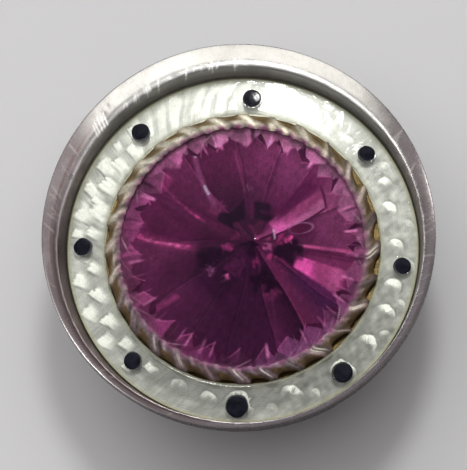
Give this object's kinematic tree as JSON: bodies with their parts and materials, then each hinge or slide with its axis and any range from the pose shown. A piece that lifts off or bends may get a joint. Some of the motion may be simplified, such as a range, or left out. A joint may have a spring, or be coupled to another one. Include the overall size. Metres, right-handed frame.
{
  "type": "jewelled sew-on button",
  "caption": "Round sew-on button with a polished metal rim, a white enamel border with black dots, a pointed amethyst-red glass stone in a scalloped collet, and a wire loop shank behind.",
  "frame": {"origin": "on the axis of the rim, at the lowest point of the wire loop, where the thread holds the button on the cloth", "axes": "+Z along the rim's axis towards the face; +Y towards the wide side of the bead; the wire loop lies in the XZ plane"},
  "size_m": [0.016, 0.016, 0.007],
  "materials": {
    "worn_silver": "polished silver worn to a mauve-grey, fine scratches, lit along the bead",
    "dull_silver": "dull turned silver, lightly tarnished",
    "engraved_silver": "bright engine-turned ground seen through the enamel",
    "white_enamel": "translucent white vitreous enamel, glossy, slightly yellow where thick",
    "black_enamel": "glossy black vitreous enamel drops",
    "gilt_brass": "gilded brass with dark tarnish in the corners",
    "collet_silver": "rubbed silver with bright burnished edges",
    "amethyst_paste": "deep amethyst-red cut glass, polished facets with slight wear",
    "foil": "thin reflective foil",
    "shank_wire": "drawn silver wire, slightly tarnished",
    "solder": "dull grey solder"
  },
  "bodies": {
    "root": {"rim_shell": "worn_silver", "back_plate": "dull_silver", "ground_disc": "engraved_silver", "enamel_ring": "white_enamel", "enamel_dot_1": "black_enamel", "enamel_dot_2": "black_enamel", "enamel_dot_3": "black_enamel", "enamel_dot_4": "black_enamel", "enamel_dot_5": "black_enamel", "enamel_dot_6": "black_enamel", "enamel_dot_7": "black_enamel", "enamel_dot_8": "black_enamel", "setting_cup": "gilt_brass", "claw_ring": "collet_silver", "paste_stone": "amethyst_paste", "foil_back": "foil", "centre_rivet": "gilt_brass", "shank_plate": "dull_silver", "shank_loop": "shank_wire", "shank_solder_1": "solder", "shank_solder_2": "solder"}
  },
  "joints": []
}
